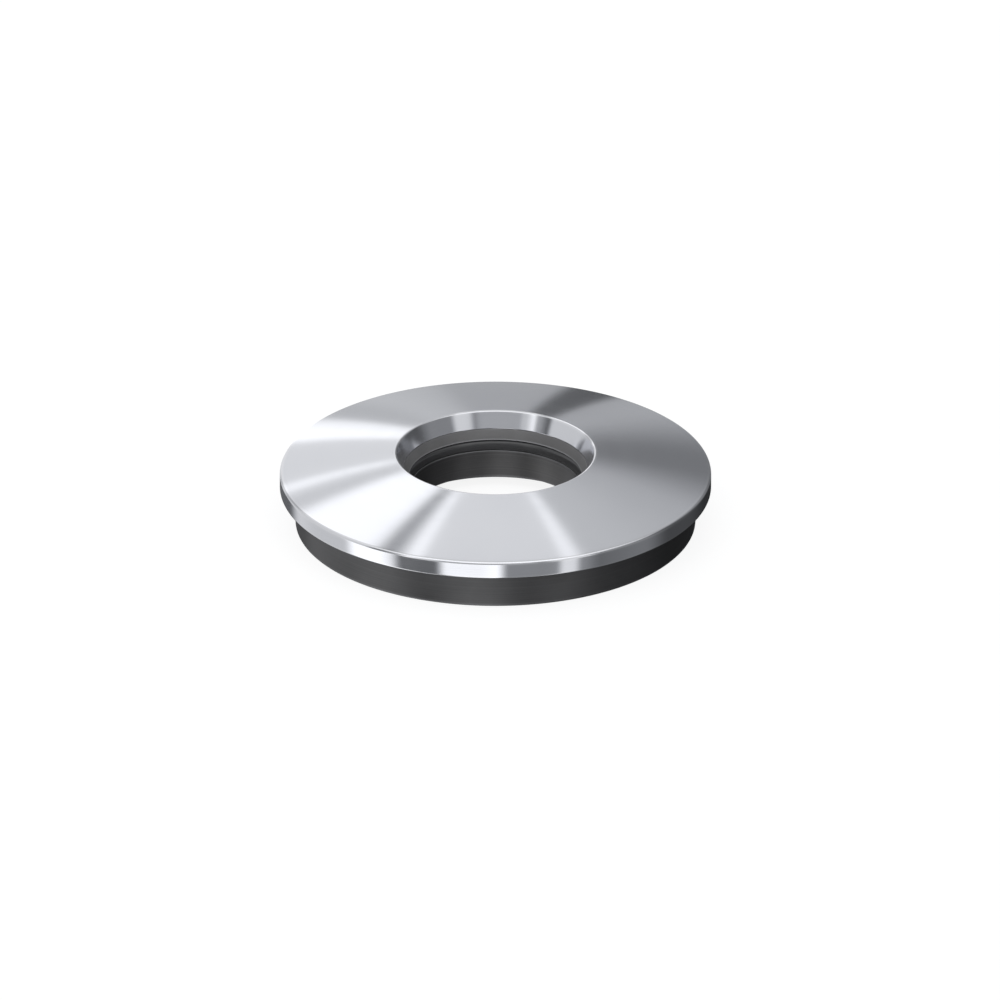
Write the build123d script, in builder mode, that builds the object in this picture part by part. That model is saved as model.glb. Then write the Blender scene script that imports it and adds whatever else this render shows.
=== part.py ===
from build123d import *
import math
import os

# Sealed single-direction thrust ball bearing. Millimetres, +Z up along the bearing's axis.
# The origin is on the axis, in the plane of the bottom face that rests on its abutment.
# The housing washer turns on top. The shaft washer and its shroud stand still below.

# Outside sizes
bore_d = 25.0  # shaft seat, in the shaft washer
washer_d = 64.0  # housing washer, over its rim
shroud_d = 59.4  # black shroud round the shaft washer
height = 11.4  # bottom face to the top edge of the housing washer's hole
rim_top_z = 8.2
rim_bottom_z = 5.65
hole_top_d = 29.4  # bright countersunk hole of the housing washer
hole_bottom_d = 27.0
hole_bottom_z = 8.92

# Rolling set
ball_d = 5.556  # 7/32 inch
ball_count = 20
pitch_d = 43.0
ball_z = 5.0
groove_r = 0.54 * ball_d  # raceway groove, a little wider than the ball
race_gap = 0.05  # running clearance between a ball and each raceway
washer_gap = 3.0  # between the flat lands of the two washers
upper_land_z = ball_z + washer_gap / 2
lower_land_z = ball_z - washer_gap / 2

# Shaft washer
collar_d = 29.2
collar_z = 5.84
relief_d = 31.0  # step round the bore, clear of the shoulder's root radius
relief_depth = 1.65

# Shroud
shroud_wall = 0.8
shroud_z = 5.35
curl_w = 1.4  # the top edge, rolled in over the seal
curl_h = 0.6
lip_w = 2.1  # the bottom edge, rolled in under the shaft washer
lip_h = 0.6
shroud_round = 0.4  # where the sheet is bent

# Outer seal
seal_gap = 0.05  # between a lip and the face that it wipes
outer_seal_in_d = 53.8
housing_step_d = 52.8  # where the flange's underside steps up to the raceway land
heel_h = 0.7  # the foot's inner face
heel_slope_w = 0.35
heel_slope_h = 0.3
stem_gap = 0.1  # between the shroud's rolled edge and the stem of the lip
waist_w = 0.15  # the lip narrows by this much under its tip
waist_h = 0.3
tip_w = 0.4
tip_back_w = 0.3  # slope behind the tip
tip_back_h = 0.45

# Inner seal
case_d = 30.4
case_bottom_z = 7.4
case_flange_w = 0.6
case_flange_h = 0.5
case_mouth_d = 25.6
mouth_step = 0.25  # the rubber starts this far back from the mouth of the case
bead_w = 0.5  # slope under the flange
bead_h = 0.35
wipe_in = 0.15  # from the bore to the face that wipes the collar
wipe_w = 0.7
wipe_bevel_w = 0.15
wipe_bevel_h = 0.25
nose_w = 0.15  # the front of the lip leans back by this much
nose_h = 0.6

# Cage
cage_in_d = 34.8
cage_out_d = 51.2
cage_web = 1.6
boss_d = 6.5
boss_h = 2.4
pocket_gap = 0.1

# Broken edges
rim_round = 0.35
hole_round = 0.2
small_chamfer = 0.3
fine_chamfer = 0.15
size_tolerance = 0.001  # for finding an edge by its radius and height

shroud_in_r = shroud_d / 2 - shroud_wall
os.makedirs("parts", exist_ok=True)


def circle_edges(part, radius, z):
    """The circular edges of a turned part at this radius and height."""
    return [
        e
        for e in part.edges().filter_by(GeomType.CIRCLE)
        if abs(e.radius - radius) < size_tolerance and abs(e.arc_center.Z - z) < size_tolerance
    ]


def groove_points(land_z, side):
    """Start, deepest point and end of a raceway groove, from the inside out."""
    bottom_z = ball_z + side * (ball_d / 2 + race_gap)
    centre_z = bottom_z - side * groove_r
    half_width = math.sqrt(groove_r**2 - (land_z - centre_z) ** 2)
    return (
        (pitch_d / 2 - half_width, land_z),
        (pitch_d / 2, bottom_z),
        (pitch_d / 2 + half_width, land_z),
    )


# Housing washer: turned from bearing steel, with a spherical back that rises to the hole.
hole_r = hole_top_d / 2
rim_r = washer_d / 2
dome_centre_z = (rim_r**2 + rim_top_z**2 - hole_r**2 - height**2) / (2 * (rim_top_z - height))
dome_radius = math.hypot(rim_r, rim_top_z - dome_centre_z)
dome_mid_r = (hole_r + rim_r) / 2
dome_mid = (dome_mid_r, dome_centre_z + math.sqrt(dome_radius**2 - dome_mid_r**2))
upper_groove = groove_points(upper_land_z, 1)

with BuildPart() as housing_washer:
    with BuildSketch(Plane.XZ):
        with BuildLine():
            ThreePointArc((hole_r, height), dome_mid, (rim_r, rim_top_z))
            Polyline(
                (rim_r, rim_top_z),
                (rim_r, rim_bottom_z),
                (housing_step_d / 2, rim_bottom_z),
                (housing_step_d / 2, upper_land_z),
                upper_groove[2],
            )
            ThreePointArc(upper_groove[2], upper_groove[1], upper_groove[0])
            Polyline(
                upper_groove[0],
                (case_d / 2, upper_land_z),
                (case_d / 2, hole_bottom_z),
                (hole_bottom_d / 2, hole_bottom_z),
                (hole_r, height),
            )
        make_face()
    revolve(axis=Axis.Z)
    fillet(circle_edges(housing_washer.part, rim_r, rim_top_z), rim_round)
    fillet(circle_edges(housing_washer.part, hole_r, height), hole_round)
    chamfer(circle_edges(housing_washer.part, rim_r, rim_bottom_z), small_chamfer)
    chamfer(circle_edges(housing_washer.part, hole_bottom_d / 2, hole_bottom_z), fine_chamfer)
    chamfer(circle_edges(housing_washer.part, housing_step_d / 2, rim_bottom_z), small_chamfer)
housing_washer.part.label = "housing_washer"
export_step(housing_washer.part, "parts/housing_washer.step")

# Shaft washer: the lower raceway, with a collar round the shaft and a seat for the outer seal.
lower_groove = groove_points(lower_land_z, -1)
rebate_r = shroud_d / 2 - lip_w

with BuildPart() as shaft_washer:
    with BuildSketch(Plane.XZ):
        with BuildLine():
            Polyline(
                lower_groove[0],
                (collar_d / 2, lower_land_z),
                (collar_d / 2, collar_z),
                (bore_d / 2, collar_z),
                (bore_d / 2, relief_depth),
                (relief_d / 2, relief_depth),
                (relief_d / 2, 0),
                (rebate_r, 0),
                (rebate_r, lip_h),
                (shroud_in_r, lip_h),
                (shroud_in_r, lower_land_z),
                lower_groove[2],
            )
            ThreePointArc(lower_groove[2], lower_groove[1], lower_groove[0])
        make_face()
    revolve(axis=Axis.Z)
    chamfer(circle_edges(shaft_washer.part, bore_d / 2, collar_z), fine_chamfer)
    chamfer(circle_edges(shaft_washer.part, collar_d / 2, collar_z), fine_chamfer)
    chamfer(circle_edges(shaft_washer.part, bore_d / 2, relief_depth), fine_chamfer)
    chamfer(circle_edges(shaft_washer.part, relief_d / 2, 0), small_chamfer)
shaft_washer.part.label = "shaft_washer"
export_step(shaft_washer.part, "parts/shaft_washer.step")

# Outer shroud: drawn steel band, rolled under the shaft washer and over the outer seal.
curl_r = shroud_d / 2 - curl_w

with BuildPart() as outer_shroud:
    with BuildSketch(Plane.XZ):
        with BuildLine():
            Polyline(
                (rebate_r, 0),
                (shroud_d / 2, 0),
                (shroud_d / 2, shroud_z),
                (curl_r, shroud_z),
                (curl_r, shroud_z - curl_h),
                (shroud_in_r, shroud_z - curl_h),
                (shroud_in_r, lip_h),
                (rebate_r, lip_h),
                close=True,
            )
        make_face()
    revolve(axis=Axis.Z)
    fillet(circle_edges(outer_shroud.part, shroud_d / 2, 0), shroud_round)
    fillet(circle_edges(outer_shroud.part, shroud_d / 2, shroud_z), shroud_round)
    fillet(circle_edges(outer_shroud.part, curl_r, shroud_z), fine_chamfer)
outer_shroud.part.label = "outer_shroud"
export_step(outer_shroud.part, "parts/outer_shroud.step")

# Outer seal: rubber ring held in the shroud, whose lip wipes the underside of the rim.
outer_seal_in_r = outer_seal_in_d / 2
heel_z = lower_land_z + heel_h
stem_r = curl_r - stem_gap
tip_z = rim_bottom_z - seal_gap
tip_in_r = stem_r - tip_w

with BuildPart() as outer_seal:
    with BuildSketch(Plane.XZ):
        with BuildLine():
            Polyline(
                (outer_seal_in_r, lower_land_z),
                (shroud_in_r, lower_land_z),
                (shroud_in_r, shroud_z - curl_h),
                (stem_r, shroud_z - curl_h),
                (stem_r - waist_w, tip_z - waist_h),
                (stem_r, tip_z),
                (tip_in_r, tip_z),
                (tip_in_r - tip_back_w, tip_z - tip_back_h),
                (outer_seal_in_r + heel_slope_w, heel_z + heel_slope_h),
                (outer_seal_in_r, heel_z),
                close=True,
            )
        make_face()
    revolve(axis=Axis.Z)
outer_seal.part.label = "outer_seal"
export_step(outer_seal.part, "parts/outer_seal.step")

# Inner seal case: grey steel ring pressed into the housing washer, coned towards the shaft.
case_r = case_d / 2
case_seat_z = case_bottom_z - case_flange_h
case_flange_r = case_r - case_flange_w

with BuildPart() as inner_seal_case:
    with BuildSketch(Plane.XZ):
        with BuildLine():
            Polyline(
                (hole_bottom_d / 2, hole_bottom_z),
                (case_r, hole_bottom_z),
                (case_r, case_seat_z),
                (case_flange_r, case_seat_z),
                (case_flange_r, case_bottom_z),
                (case_mouth_d / 2, case_bottom_z),
                close=True,
            )
        make_face()
    revolve(axis=Axis.Z)
    fillet(circle_edges(inner_seal_case.part, hole_bottom_d / 2, hole_bottom_z), fine_chamfer)
    fillet(circle_edges(inner_seal_case.part, case_mouth_d / 2, case_bottom_z), fine_chamfer)
inner_seal_case.part.label = "inner_seal_case"
export_step(inner_seal_case.part, "parts/inner_seal_case.step")

# Inner seal lip: rubber bonded under the case, whose lip wipes the top of the collar.
wipe_z = collar_z + seal_gap
wipe_in_r = bore_d / 2 + wipe_in
wipe_out_r = wipe_in_r + wipe_w

with BuildPart() as inner_seal_lip:
    with BuildSketch(Plane.XZ):
        with BuildLine():
            Polyline(
                (case_mouth_d / 2 + mouth_step, case_bottom_z),
                (case_flange_r, case_bottom_z),
                (case_flange_r, case_seat_z),
                (case_flange_r - bead_w, case_seat_z - bead_h),
                (wipe_out_r + wipe_bevel_w, wipe_z + wipe_bevel_h),
                (wipe_out_r, wipe_z),
                (wipe_in_r, wipe_z),
                (wipe_in_r + nose_w, wipe_z + nose_h),
                close=True,
            )
        make_face()
    revolve(axis=Axis.Z)
inner_seal_lip.part.label = "inner_seal_lip"
export_step(inner_seal_lip.part, "parts/inner_seal_lip.step")

# Ball cage: moulded ring whose bossed pockets snap over the balls and keep them apart.
with BuildPart(Plane.XY.offset(ball_z)) as ball_cage:
    with BuildSketch(Plane.XY.offset(ball_z)):
        Circle(cage_out_d / 2)
        Circle(cage_in_d / 2, mode=Mode.SUBTRACT)
    extrude(amount=cage_web / 2, both=True)
    with PolarLocations(pitch_d / 2, ball_count):
        Cylinder(boss_d / 2, boss_h)
    with PolarLocations(pitch_d / 2, ball_count):
        Sphere(ball_d / 2 + pocket_gap, mode=Mode.SUBTRACT)
ball_cage.part.label = "ball_cage"
export_step(ball_cage.part, "parts/ball_cage.step")

# Balls: each one lies in its own pocket and rolls between the two raceway grooves.
for number in range(ball_count):
    name = f"ball_{number + 1:02d}"
    angle = math.tau * number / ball_count
    centre = (pitch_d / 2 * math.cos(angle), pitch_d / 2 * math.sin(angle), ball_z)
    with BuildPart() as ball:
        with Locations(centre):
            Sphere(ball_d / 2)
    ball.part.label = name
    export_step(ball.part, f"parts/{name}.step")
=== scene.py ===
import math

import bmesh
import bpy
from mathutils import Matrix, Vector


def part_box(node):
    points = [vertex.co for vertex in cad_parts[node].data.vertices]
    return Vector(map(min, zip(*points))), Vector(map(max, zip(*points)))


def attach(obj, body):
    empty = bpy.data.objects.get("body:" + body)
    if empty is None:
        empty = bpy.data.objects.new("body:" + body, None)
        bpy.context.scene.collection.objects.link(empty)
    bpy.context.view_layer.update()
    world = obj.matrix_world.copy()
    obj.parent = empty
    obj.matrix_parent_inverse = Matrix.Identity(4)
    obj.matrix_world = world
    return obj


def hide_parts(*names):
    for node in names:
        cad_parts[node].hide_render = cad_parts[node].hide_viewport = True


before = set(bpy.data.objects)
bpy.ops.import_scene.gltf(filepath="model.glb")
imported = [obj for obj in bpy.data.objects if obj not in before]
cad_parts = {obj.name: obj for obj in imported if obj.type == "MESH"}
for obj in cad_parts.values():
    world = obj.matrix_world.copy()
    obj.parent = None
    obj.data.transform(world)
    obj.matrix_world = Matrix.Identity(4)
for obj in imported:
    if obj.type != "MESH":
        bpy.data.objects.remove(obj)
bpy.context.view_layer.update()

# Housing washer: the bright upper disc that turns under the load. It is bearing steel, turned on a
# lathe with a domed back that rises to a coned hole, then hardened and polished, so that only fine
# lathe rings are left. Its edges are broken and a little scuffed by handling, and a painted
# highlight makes them a little brighter.
MM = 0.001
TURN_STEPS = 256
washer_low, washer_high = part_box("housing_washer")
rim_r = washer_high.x
rim_bottom_z = washer_low.z
rim_top_z = 8.2 * MM
hole_top_r = 14.7 * MM
hole_top_z = 11.4 * MM
hole_bottom_r = 13.5 * MM
hole_bottom_z = 8.92 * MM
dome_radius = 128.68 * MM
pitch_r = 21.5 * MM
groove_radius = 3.0 * MM
groove_half_width = 2.49 * MM
groove_rise = groove_radius - math.sqrt(groove_radius**2 - groove_half_width**2)
upper_land_z = 6.5 * MM
seal_seat_r = 15.2 * MM
rim_step_r = 26.4 * MM
rim_round = 0.35 * MM
hole_round = 0.2 * MM
edge_round = 0.25 * MM
fine_round = 0.15 * MM
DOME_STEPS = 24
GROOVE_STEPS = 16


def arc(start, end, rise, steps):
    """Points of a circular arc in a section, from start to end. Its middle stands rise off the
    chord, to the left of the way from start to end."""
    start, end = Vector(start), Vector(end)
    chord = end - start
    left = Vector((-chord.y, chord.x)).normalized()
    radius = (chord.length_squared / 4 + rise**2) / (2 * rise)
    centre = (start + end) / 2 + left * (rise - radius)
    turn = -2 * math.asin(chord.length / 2 / radius)
    return [centre + Matrix.Rotation(turn * k / steps, 2) @ (start - centre) for k in range(steps + 1)]


def turned(name, section, rounds):
    """A ring turned from a closed section of (radius, height) points. rounds lists the corners
    that are rounded, each with its radius."""
    bm = bmesh.new()
    bm.faces.new([bm.verts.new((r, 0, z)) for r, z in section])
    for corner, round_radius in rounds:
        place = Vector((corner[0], 0, corner[1]))
        nearest = min(bm.verts, key=lambda vert: (vert.co - place).length)
        bmesh.ops.bevel(bm, geom=[nearest], offset=round_radius, offset_type="OFFSET", segments=5,
                        profile=0.5, affect="VERTICES", material=-1)
    bmesh.ops.delete(bm, geom=bm.faces[:], context="FACES_ONLY")
    bmesh.ops.spin(bm, geom=bm.verts[:] + bm.edges[:], cent=(0, 0, 0), axis=(0, 0, 1),
                   angle=math.tau, steps=TURN_STEPS, use_merge=True)
    bmesh.ops.remove_doubles(bm, verts=bm.verts[:], dist=0.0005 * MM)
    bmesh.ops.recalc_face_normals(bm, faces=bm.faces[:])
    mesh = bpy.data.meshes.new(name)
    bm.to_mesh(mesh)
    bm.free()
    mesh.shade_smooth()
    piece = bpy.data.objects.new(name, mesh)
    bpy.context.scene.collection.objects.link(piece)
    piece.modifiers.new("even shading", "WEIGHTED_NORMAL").weight = 100
    bpy.context.view_layer.update()
    shaded = piece.evaluated_get(bpy.context.evaluated_depsgraph_get())
    piece.data = bpy.data.meshes.new_from_object(shaded)
    piece.modifiers.clear()
    bpy.data.meshes.remove(mesh)
    return piece


hole_top = (hole_top_r, hole_top_z)
rim_top = (rim_r, rim_top_z)
half_chord = math.dist(hole_top, rim_top) / 2
dome_rise = dome_radius - math.sqrt(dome_radius**2 - half_chord**2)
upper_groove_start = (pitch_r + groove_half_width, upper_land_z)
upper_groove_end = (pitch_r - groove_half_width, upper_land_z)
housing_washer = turned(
    "turned_housing_washer",
    [
        *arc(hole_top, rim_top, dome_rise, DOME_STEPS),
        (rim_r, rim_bottom_z),
        (rim_step_r, rim_bottom_z),
        (rim_step_r, upper_land_z),
        *reversed(arc(upper_groove_end, upper_groove_start, groove_rise, GROOVE_STEPS)),
        (seal_seat_r, upper_land_z),
        (seal_seat_r, hole_bottom_z),
        (hole_bottom_r, hole_bottom_z),
    ],
    [
        (hole_top, hole_round),
        (rim_top, rim_round),
        ((rim_r, rim_bottom_z), edge_round),
        ((rim_step_r, rim_bottom_z), edge_round),
        ((hole_bottom_r, hole_bottom_z), fine_round),
    ],
)


class Value:
    """A number that varies over a surface. Arithmetic on it adds Math nodes."""

    def __init__(self, tree, socket):
        self.tree = tree
        self.socket = socket

    def maths(self, operation, *others, clamp=False):
        node = self.tree.nodes.new("ShaderNodeMath")
        node.operation = operation
        node.use_clamp = clamp
        for slot, item in enumerate((self, *others)):
            if isinstance(item, Value):
                self.tree.links.new(item.socket, node.inputs[slot])
            else:
                node.inputs[slot].default_value = item
        return Value(self.tree, node.outputs[0])

    def __add__(self, other):
        return self.maths("ADD", other)

    __radd__ = __add__

    def __sub__(self, other):
        return self.maths("SUBTRACT", other)

    def __rsub__(self, other):
        return self.maths("MULTIPLY", -1.0) + other

    def __mul__(self, other):
        return self.maths("MULTIPLY", other)

    __rmul__ = __mul__

    def __truediv__(self, other):
        return self.maths("DIVIDE", other)

    def rise(self, low, high):
        """0 up to low, 1 from high on, and a smooth slope between them."""
        node = self.tree.nodes.new("ShaderNodeMapRange")
        node.interpolation_type = "SMOOTHSTEP"
        node.inputs["From Min"].default_value = low
        node.inputs["From Max"].default_value = high
        self.tree.links.new(self.socket, node.inputs["Value"])
        return Value(self.tree, node.outputs["Result"])


class Finish:
    """The nodes of one material, or of the studio round the part."""

    def __init__(self, owner):
        owner.use_nodes = True
        self.owner = owner
        self.tree = owner.node_tree
        self.tree.nodes.clear()

    def add(self, kind, settings=None, **inputs):
        """A node of this type, with its settings first and then its sockets by name."""
        node = self.tree.nodes.new("ShaderNode" + kind)
        for setting, choice in (settings or {}).items():
            setattr(node, setting, choice)
        for label, item in inputs.items():
            socket = next(s for s in node.inputs if s.enabled and s.name == label.replace("_", " "))
            if isinstance(item, Value):
                item = item.socket
            if isinstance(item, bpy.types.NodeSocket):
                self.tree.links.new(item, socket)
            elif socket.type == "RGBA":
                socket.default_value = (*item, 1)
            else:
                socket.default_value = item
        return node

    def value(self, socket):
        return Value(self.tree, socket)

    def place(self):
        """The point on the surface, measured from the middle of the bearing's bottom face."""
        return self.add("Mapping", Vector=self.add("TexCoord").outputs["Object"]).outputs["Vector"]

    def radius_and_height(self):
        """The distance from the bearing's axis and the height over its bottom face."""
        sides = self.add("SeparateXYZ", Vector=self.place()).outputs
        x, y, z = (self.value(sides[side]) for side in "XYZ")
        return (x * x + y * y).maths("SQRT"), z

    def noise(self, size, detail=4.0):
        """Cloudy variation from 0 to 1, in patches about as large as size."""
        node = self.add("TexNoise", Vector=self.place(), Scale=1 / size, Detail=detail)
        return self.value(node.outputs[0])

    def lathe_rings(self, spacing, detail=3.0):
        """Uneven rings round the axis, as a lathe or a grinding wheel leaves them."""
        radius, height = self.radius_and_height()
        node = self.add("TexNoise", {"noise_dimensions": "1D"}, W=(radius + height * 0.63) / spacing,
                        Scale=1.0, Detail=detail, Roughness=0.6)
        return self.value(node.outputs[0])

    def near_edge(self, edge_radius, edge_height, reach):
        """1 on a turned edge, falling to 0 at reach away from it."""
        radius, height = self.radius_and_height()
        across = radius - edge_radius
        up = height - edge_height
        return 1 - (across * across + up * up).maths("SQRT").rise(reach * 0.3, reach)

    def mix(self, share, first, second):
        """A colour between two colours."""
        node = self.add("Mix", {"data_type": "RGBA"}, Factor=share, A=first, B=second)
        return next(s for s in node.outputs if s.enabled)

    def bump(self, relief, depth):
        """A normal that stands for relief of this depth, in metres."""
        return self.add("Bump", Strength=1.0, Distance=depth, Height=relief).outputs["Normal"]

    def principled(self, **inputs):
        shader = self.add("BsdfPrincipled", **inputs)
        self.tree.links.new(shader.outputs[0], self.add("OutputMaterial").inputs["Surface"])
        return self.owner


finish = Finish(bpy.data.materials.new("polished_turned_steel"))
fine_rings = finish.lathe_rings(0.10 * MM)
broad_rings = finish.lathe_rings(1.7 * MM, detail=1.0)
smear = finish.noise(14 * MM, detail=5.0)
scuff = finish.noise(0.5 * MM).rise(0.35, 0.75)
edges = finish.near_edge(rim_r, rim_top_z, 0.7 * MM)
edges = edges + finish.near_edge(hole_top_r, hole_top_z, 0.5 * MM)
edges = edges + finish.near_edge(rim_r, rim_bottom_z, 0.5 * MM)
tone = finish.mix(smear.rise(0.3, 0.7), (0.795, 0.80, 0.826), (0.77, 0.776, 0.804))
tone = finish.mix(fine_rings.rise(0.3, 0.8) * 0.35, tone, (0.695, 0.705, 0.74))
# Painted highlight: the broken edges of the rim and the hole are mixed towards a paler steel, which stands
# in for the light that they catch.
tone = finish.mix(edges * 0.5, tone, (0.90, 0.90, 0.915))
polished_steel = finish.principled(
    Base_Color=tone,
    Metallic=1.0,
    Roughness=0.10 + fine_rings * 0.03 + broad_rings * 0.02 + smear * 0.01 + scuff * edges * 0.04,
    Anisotropic=0.9,
    Anisotropic_Rotation=0.25,
    Normal=finish.bump(fine_rings * 0.5 + broad_rings * 2.0, 0.0004 * MM),
)
housing_washer.data.materials.append(polished_steel)
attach(housing_washer, "upper")
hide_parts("housing_washer")

# Inner seal case: a grey ring under the bright hole. It is thin sheet steel, pressed to a cone that
# narrows towards the shaft, phosphated a dull mid grey, and pressed into the housing washer.
case_low, case_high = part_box("inner_seal_case")
case_r = case_high.x
case_seat_z = case_low.z
case_bottom_z = 7.4 * MM
case_mouth_r = 12.8 * MM
case_flange_r = case_r - 0.6 * MM
flange_round = 0.1 * MM
seal_case = turned(
    "pressed_seal_case",
    [
        (hole_bottom_r, hole_bottom_z),
        (case_r, hole_bottom_z),
        (case_r, case_seat_z),
        (case_flange_r, case_seat_z),
        (case_flange_r, case_bottom_z),
        (case_mouth_r, case_bottom_z),
    ],
    [
        ((hole_bottom_r, hole_bottom_z), fine_round),
        ((case_mouth_r, case_bottom_z), fine_round),
        ((case_flange_r, case_seat_z), flange_round),
    ],
)
finish = Finish(bpy.data.materials.new("phosphated_steel"))
grain = finish.noise(0.12 * MM)
patches = finish.noise(6 * MM)
rings = finish.lathe_rings(0.25 * MM)
tone = finish.mix(patches.rise(0.3, 0.7), (0.190, 0.188, 0.188), (0.232, 0.23, 0.23))
tone = finish.mix(grain.rise(0.5, 0.8) * 0.5, tone, (0.152, 0.151, 0.151))
tone = finish.mix(finish.near_edge(case_mouth_r, case_bottom_z, 0.3 * MM) * 0.6, tone, (0.5, 0.5, 0.52))
phosphated_steel = finish.principled(
    Base_Color=tone,
    Metallic=0.5,
    Roughness=0.45 + grain * 0.14 + patches * 0.05,
    Normal=finish.bump(grain + rings * 0.6, 0.004 * MM),
)
seal_case.data.materials.append(phosphated_steel)
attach(seal_case, "upper")
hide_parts("inner_seal_case")

# Inner seal lip: the black band under the grey case. It is nitrile rubber, moulded onto the case,
# and its edge wipes the top of the shaft washer's collar, where it carries a thin film of grease.
wipe_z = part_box("inner_seal_lip")[0].z
bore_r = 12.5 * MM
mouth_step = 0.25 * MM
bead = (case_flange_r - 0.5 * MM, case_seat_z - 0.35 * MM)
wipe_bevel = (bore_r + 1.0 * MM, wipe_z + 0.25 * MM)
wipe_outside = (bore_r + 0.85 * MM, wipe_z)
wipe_inside = (bore_r + 0.15 * MM, wipe_z)
lip_nose = (bore_r + 0.3 * MM, wipe_z + 0.6 * MM)
seal_lip = turned(
    "moulded_seal_lip",
    [
        (case_mouth_r + mouth_step, case_bottom_z),
        (case_flange_r, case_bottom_z),
        (case_flange_r, case_seat_z),
        bead,
        wipe_bevel,
        wipe_outside,
        wipe_inside,
        lip_nose,
    ],
    [
        (wipe_inside, 0.1 * MM),
        (wipe_outside, 0.06 * MM),
        (lip_nose, 0.15 * MM),
        (wipe_bevel, 0.1 * MM),
    ],
)
finish = Finish(bpy.data.materials.new("greased_nitrile_rubber"))
grain = finish.noise(0.06 * MM)
film = finish.noise(2.5 * MM).rise(0.35, 0.7)
rings = finish.lathe_rings(0.3 * MM)
nitrile_rubber = finish.principled(
    Base_Color=finish.mix(grain, (0.012, 0.012, 0.013), (0.022, 0.022, 0.023)),
    Roughness=0.38 + grain * 0.15,
    Specular_IOR_Level=0.8,
    Coat_Weight=0.7 + film * 0.3,
    Coat_Roughness=0.2,
    Normal=finish.bump(grain + rings * 0.5, 0.003 * MM),
)
seal_lip.data.materials.append(nitrile_rubber)
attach(seal_lip, "upper")
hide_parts("inner_seal_lip")

# Shaft washer: the lower ring, which stays still on its shoulder. It is bearing steel, turned and
# hardened, with a black oxide finish all over, which has worn thin on the edges of the bore.
shaft_washer_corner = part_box("shaft_washer")[1]
shaft_washer_r = shaft_washer_corner.x
collar_z = shaft_washer_corner.z
collar_r = 14.6 * MM
relief_r = 15.5 * MM
relief_z = 1.65 * MM
relief_root = 0.2 * MM
lower_land_z = 3.5 * MM
rebate_r = 27.6 * MM
rebate_z = 0.6 * MM
lower_groove_start = (pitch_r - groove_half_width, lower_land_z)
lower_groove_end = (pitch_r + groove_half_width, lower_land_z)
shaft_washer = turned(
    "turned_shaft_washer",
    [
        (collar_r, lower_land_z),
        (collar_r, collar_z),
        (bore_r, collar_z),
        (bore_r, relief_z),
        (relief_r, relief_z),
        (relief_r, 0),
        (rebate_r, 0),
        (rebate_r, rebate_z),
        (shaft_washer_r, rebate_z),
        (shaft_washer_r, lower_land_z),
        *arc(lower_groove_end, lower_groove_start, groove_rise, GROOVE_STEPS),
    ],
    [
        ((bore_r, collar_z), fine_round),
        ((collar_r, collar_z), fine_round),
        ((bore_r, relief_z), fine_round),
        ((relief_r, 0), edge_round),
        ((relief_r, relief_z), relief_root),
    ],
)


def black_oxide(name, worn_edges, steel_tone, roughness):
    """Black oxide on steel: a thin dark skin with a cold sheen, which wears to grey steel on the
    edges. worn_edges lists each edge's radius, height and the reach of its wear."""
    finish = Finish(bpy.data.materials.new(name))
    grain = finish.noise(0.09 * MM)
    patches = finish.noise(8 * MM)
    rings = finish.lathe_rings(0.16 * MM)
    broken = 0.5 + finish.noise(2.5 * MM, detail=3.0) * 0.5
    wear = None
    for edge_radius, edge_height, reach in worn_edges:
        edge = finish.near_edge(edge_radius, edge_height, reach)
        wear = edge if wear is None else wear + edge
    wear = (wear * broken).maths("MULTIPLY", 0.45, clamp=True)
    darker = tuple(0.82 * c for c in steel_tone)
    paler = tuple(1.25 * c for c in steel_tone)
    bare_steel = (0.30, 0.302, 0.31)
    tone = finish.mix(patches.rise(0.3, 0.7), steel_tone, darker)
    tone = finish.mix(rings.rise(0.35, 0.8) * 0.4, tone, paler)
    tone = finish.mix(wear, tone, bare_steel)
    return finish.principled(
        Base_Color=tone,
        Metallic=1.0,
        Roughness=roughness + grain * 0.08 + rings * 0.05 - wear * 0.06,
        Normal=finish.bump(grain * 0.5 + rings, 0.0015 * MM),
    )


shaft_washer.data.materials.append(black_oxide(
    "black_oxide_steel",
    [(bore_r, collar_z, 0.3 * MM), (bore_r, relief_z, 0.3 * MM), (relief_r, 0, 0.6 * MM)],
    (0.127, 0.125, 0.125),
    0.38,
))
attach(shaft_washer, "lower")
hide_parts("shaft_washer")

# Outer shroud: the black skirt under the rim. It is a band of drawn sheet steel, blackened like the
# shaft washer, rolled in over the outer seal at its top and under the shaft washer at its bottom.
shroud_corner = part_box("outer_shroud")[1]
shroud_r = shroud_corner.x
shroud_z = shroud_corner.z
curl_r = shroud_r - 1.4 * MM
curl_z = shroud_z - 0.6 * MM
bend_round = 0.4 * MM
curl_round = 0.1 * MM
sheet_round = 0.12 * MM
shroud = turned(
    "drawn_outer_shroud",
    [
        (rebate_r, 0),
        (shroud_r, 0),
        (shroud_r, shroud_z),
        (curl_r, shroud_z),
        (curl_r, curl_z),
        (shaft_washer_r, curl_z),
        (shaft_washer_r, rebate_z),
        (rebate_r, rebate_z),
    ],
    [
        ((shroud_r, 0), bend_round),
        ((shroud_r, shroud_z), bend_round),
        ((curl_r, shroud_z), fine_round),
        ((curl_r, curl_z), curl_round),
        ((rebate_r, 0), sheet_round),
    ],
)
shroud.data.materials.append(black_oxide(
    "black_oxide_shroud",
    [(shroud_r, 0, 0.6 * MM), (shroud_r, shroud_z, 0.6 * MM), (rebate_r, 0, 0.3 * MM)],
    (0.122, 0.121, 0.122),
    0.33,
))
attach(shroud, "lower")
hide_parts("outer_shroud")

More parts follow.
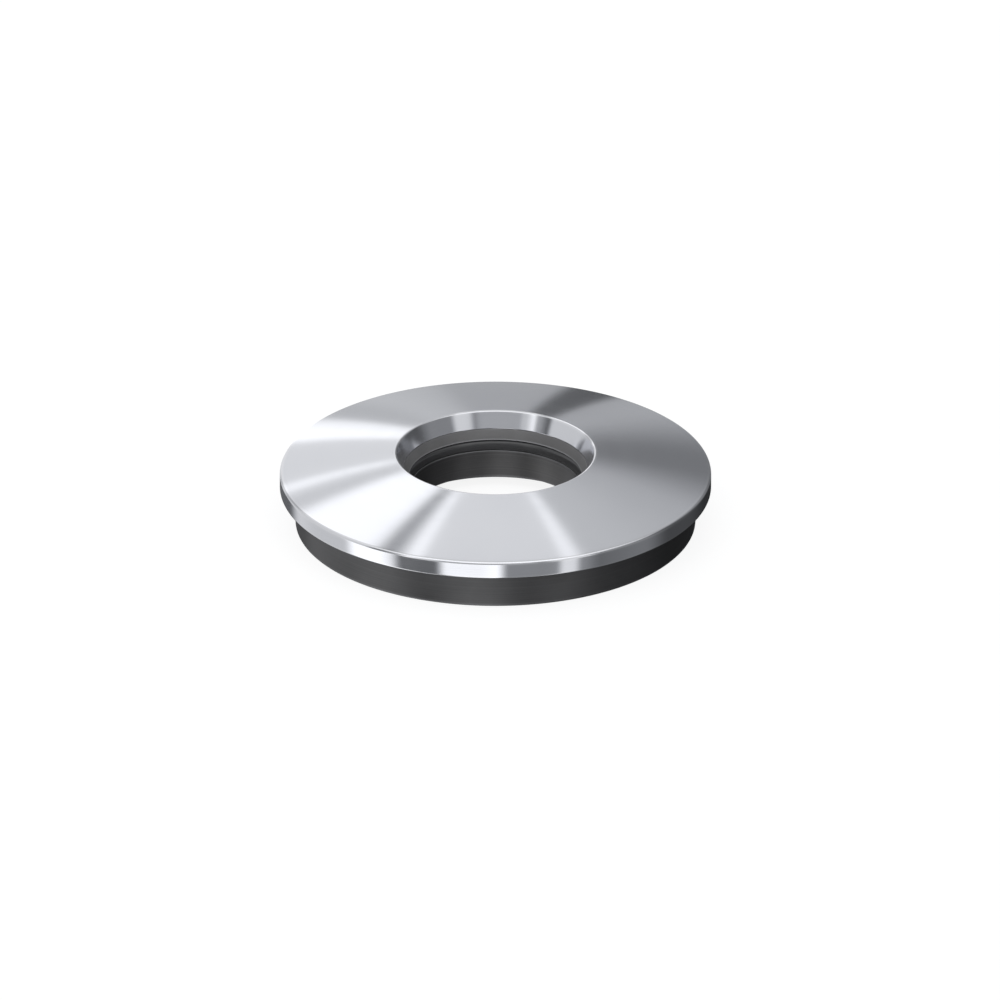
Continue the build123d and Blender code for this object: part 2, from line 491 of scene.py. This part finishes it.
# Outer seal: a moulded nitrile ring that the shroud's rolled edge holds down on the shaft washer.
# Its thin lip leans out and up, and wipes the underside of the turning rim.
tip_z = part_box("outer_seal")[1].z
outer_seal_in_r = 26.9 * MM
stem_r = curl_r - 0.1 * MM
waist = (stem_r - 0.15 * MM, tip_z - 0.3 * MM)
tip_outside = (stem_r, tip_z)
tip_inside = (stem_r - 0.4 * MM, tip_z)
tip_back = (stem_r - 0.7 * MM, tip_z - 0.45 * MM)
heel = (outer_seal_in_r, lower_land_z + 0.7 * MM)
heel_top = (outer_seal_in_r + 0.35 * MM, lower_land_z + 1.0 * MM)
outer_seal = turned(
    "moulded_outer_seal",
    [
        (outer_seal_in_r, lower_land_z),
        (shaft_washer_r, lower_land_z),
        (shaft_washer_r, curl_z),
        (stem_r, curl_z),
        waist,
        tip_outside,
        tip_inside,
        tip_back,
        heel_top,
        heel,
    ],
    [
        (tip_outside, 0.05 * MM),
        (tip_inside, 0.08 * MM),
        (tip_back, 0.15 * MM),
        (heel_top, 0.15 * MM),
        (heel, 0.15 * MM),
    ],
)
outer_seal.data.materials.append(nitrile_rubber)
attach(outer_seal, "lower")
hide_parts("outer_seal")

# Ball cage: one moulded ring of natural polyamide, whose raised pockets snap over the balls. It
# comes cream coloured and slightly waxy from the mould, and its pockets polish as the balls turn.
finish = Finish(bpy.data.materials.new("natural_polyamide"))
flow = finish.noise(5 * MM, detail=3.0)
grain = finish.noise(0.15 * MM)
tone = finish.mix(flow.rise(0.3, 0.7), (0.74, 0.66, 0.49), (0.68, 0.59, 0.42))
natural_polyamide = finish.principled(
    Base_Color=finish.mix(grain.rise(0.5, 0.9) * 0.4, tone, (0.58, 0.49, 0.34)),
    Roughness=0.36 + grain * 0.15 + flow * 0.08,
    Subsurface_Weight=0.08,
    Subsurface_Scale=0.001,
    Normal=finish.bump(grain + flow * 2.0, 0.004 * MM),
)
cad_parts["ball_cage"].material_slots[0].material = natural_polyamide

# Balls: twenty balls of chromium bearing steel, 7/32 inch, lapped to a mirror. Running in the
# grooves leaves them hairline marks, and a thin, uneven film of grease.
finish = Finish(bpy.data.materials.new("lapped_ball_steel"))
film = finish.noise(1.8 * MM).rise(0.4, 0.75)
hairlines = finish.noise(0.05 * MM, detail=6.0)
lapped_steel = finish.principled(
    Base_Color=finish.mix(film, (0.80, 0.80, 0.815), (0.72, 0.71, 0.69)),
    Metallic=1.0,
    Roughness=0.05 + film * 0.10 + hairlines * 0.03,
    Normal=finish.bump(hairlines, 0.0004 * MM),
)
for name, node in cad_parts.items():
    if name.startswith("ball_") and name != "ball_cage":
        node.material_slots[0].material = lapped_steel

# Floor: a pale, matt table top, lit a little from below like a product table, so that the part
# casts only a faint shadow. It is left out of reflections, so that the rim shows the studio.
bm = bmesh.new()
TABLE_SIZE = 3.0
just_below = Matrix.Translation((0, 0, -0.02 * MM))
bmesh.ops.create_grid(bm, x_segments=1, y_segments=1, size=TABLE_SIZE, matrix=just_below)
floor_mesh = bpy.data.meshes.new("floor")
bm.to_mesh(floor_mesh)
bm.free()
floor = bpy.data.objects.new("floor", floor_mesh)
bpy.context.scene.collection.objects.link(floor)
finish = Finish(bpy.data.materials.new("pale_table"))
floor_mesh.materials.append(finish.principled(
    Base_Color=(0.20, 0.20, 0.20),
    Roughness=0.9,
    Specular_IOR_Level=0.0,
    Emission_Color=(1.0, 1.0, 1.0),
    Emission_Strength=0.88,
))
floor.visible_glossy = False

# Studio: a pale tent round the part, brighter on the left than on the right. Soft panels stand in
# it all round. In the domed back they show as rays from the hole, and in the rim and the hole's
# cone as upright bands.
ELEVATION = math.radians(25)
finish = Finish(bpy.data.worlds.new("studio"))
bpy.context.scene.world = finish.owner
direction = finish.add("TexCoord").outputs["Generated"]


def towards(vector):
    """How far the direction points along a vector, from -1 to 1."""
    node = finish.add("VectorMath", {"operation": "DOT_PRODUCT"})
    finish.tree.links.new(direction, node.inputs[0])
    node.inputs[1].default_value = vector
    return finish.value(node.outputs["Value"])


def panels(right, ahead, rows):
    """The light of panels that stand round an axis. A row is a panel's bearing from ahead to the
    right, its half width and its soft edge, all in degrees, and its strength."""
    length = (right * right + ahead * ahead + 1e-6).maths("SQRT")
    light = None
    for bearing, half_width, soft_edge, strength in rows:
        turn = math.radians(bearing)
        off = ((right * math.sin(turn) + ahead * math.cos(turn)) / length).maths("ARCCOSINE")
        panel = (1 - off.rise(math.radians(half_width), math.radians(half_width + soft_edge))) * strength
        light = panel if light is None else light + panel
    return light


rightward = towards((1, 0, 0))
frontward = towards((0, -1, 0))
upward = towards((0, 0, 1))
off_middle = frontward + math.cos(ELEVATION)
back_spokes = 0.21 + panels(rightward, off_middle, [
    (-49, 63, 12, 0.22),    # the left and the front
    (-26, 88, 28, 0.28),
    (-50, 80, 40, 0.12),
    (172, 40, 35, 0.23),    # the back
    (-150, 8, 10, 0.08),
    (-49, 11, 8, 0.50),     # the broad ray on the left
    (-69, 2, 4, -0.12),
    (-79, 1, 3, 0.40),
    (-116, 5, 6, 0.52),     # the ray at the back on the left
    (-30, 1, 4, -0.48),     # the dark gap in front
    (-22.5, 1, 2.5, 0.45),  # and the thin ray beside it
    (21, 1, 3, 0.50),       # the thin ray in front
    (151.5, 5, 5, -0.33),   # the dark wedge at the back
])
spread = (rightward * rightward + off_middle * off_middle).maths("SQRT")
back_spokes = back_spokes * (1 - 0.4 * spread.rise(0.34, 0.55))
upper_bands = 0.09 + panels(rightward, frontward, [
    (-100, 50, 14, 0.60),
    (-59, 6, 7, -0.60),
    (-18, 33, 18, 0.34),
    (-40, 5, 7, 0.20),
    (40, 7, 9, 0.50),
    (60, 20, 25, 0.17),
])
lower_bands = 0.03 + panels(rightward, frontward, [
    (-98, 32, 14, 0.62),
    (-150, 20, 20, 0.10),
    (-70, 11, 8, 0.75),
    (-42, 8, 8, 0.10),
    (-13, 13, 7, 1.20),
    (25, 20, 15, 0.25),
    (40, 2.5, 5, 0.62),
    (75, 12, 20, 0.13),
    (105, 18, 30, 0.04),
])
light = lower_bands + (upper_bands - lower_bands) * upward.rise(-0.35, -0.20)
light = light + (0.85 - light) * upward.rise(0.58, 0.72)
light = light + 0.45 * upward.rise(0.58, 0.72) * frontward.rise(0.1, 0.35)
behind = towards((0, math.cos(ELEVATION), math.sin(ELEVATION)))
behind = behind.rise(math.cos(math.radians(60)), math.cos(math.radians(44))) * upward.rise(-0.40, -0.28)
light = light + (back_spokes - light) * behind
seen_directly = finish.value(finish.add("LightPath").outputs["Is Camera Ray"])
tint = finish.mix(light.rise(0.05, 0.9), (0.96, 0.985, 1.03), (0.99, 1.0, 1.02))
tent = finish.add("VectorMath", {"operation": "SCALE"}, Vector=tint, Scale=light).outputs[0]
studio_light = finish.add("Background", Color=finish.mix(seen_directly, tent, (1.0, 1.0, 1.0)), Strength=1.0)
finish.tree.links.new(studio_light.outputs[0], finish.add("OutputWorld").inputs["Surface"])
bpy.context.scene.world.cycles.sampling_method = "MANUAL"
bpy.context.scene.world.cycles.sample_map_resolution = 1024

# Camera: far off with a very long lens, so that the part is drawn almost without perspective. It
# looks down on the table from the same elevation that the studio's back panels are set out for.
SENSOR = 36.0
LENS = 1000.0
FRAME_WIDTH = 148.4 * MM
camera_data = bpy.data.cameras.new("camera")
camera_data.sensor_width = SENSOR
camera_data.lens = LENS
camera_data.clip_end = 100
camera = bpy.data.objects.new("camera", camera_data)
bpy.context.scene.collection.objects.link(camera)
aim = Vector((0.67 * MM, 0, 3.54 * MM))
distance = FRAME_WIDTH * LENS / SENSOR
camera.location = aim + distance * Vector((0, -math.cos(ELEVATION), math.sin(ELEVATION)))
camera.rotation_euler = (math.pi / 2 - ELEVATION, 0, 0)
bpy.context.scene.camera = camera
bpy.context.scene.view_settings.view_transform = "Standard"
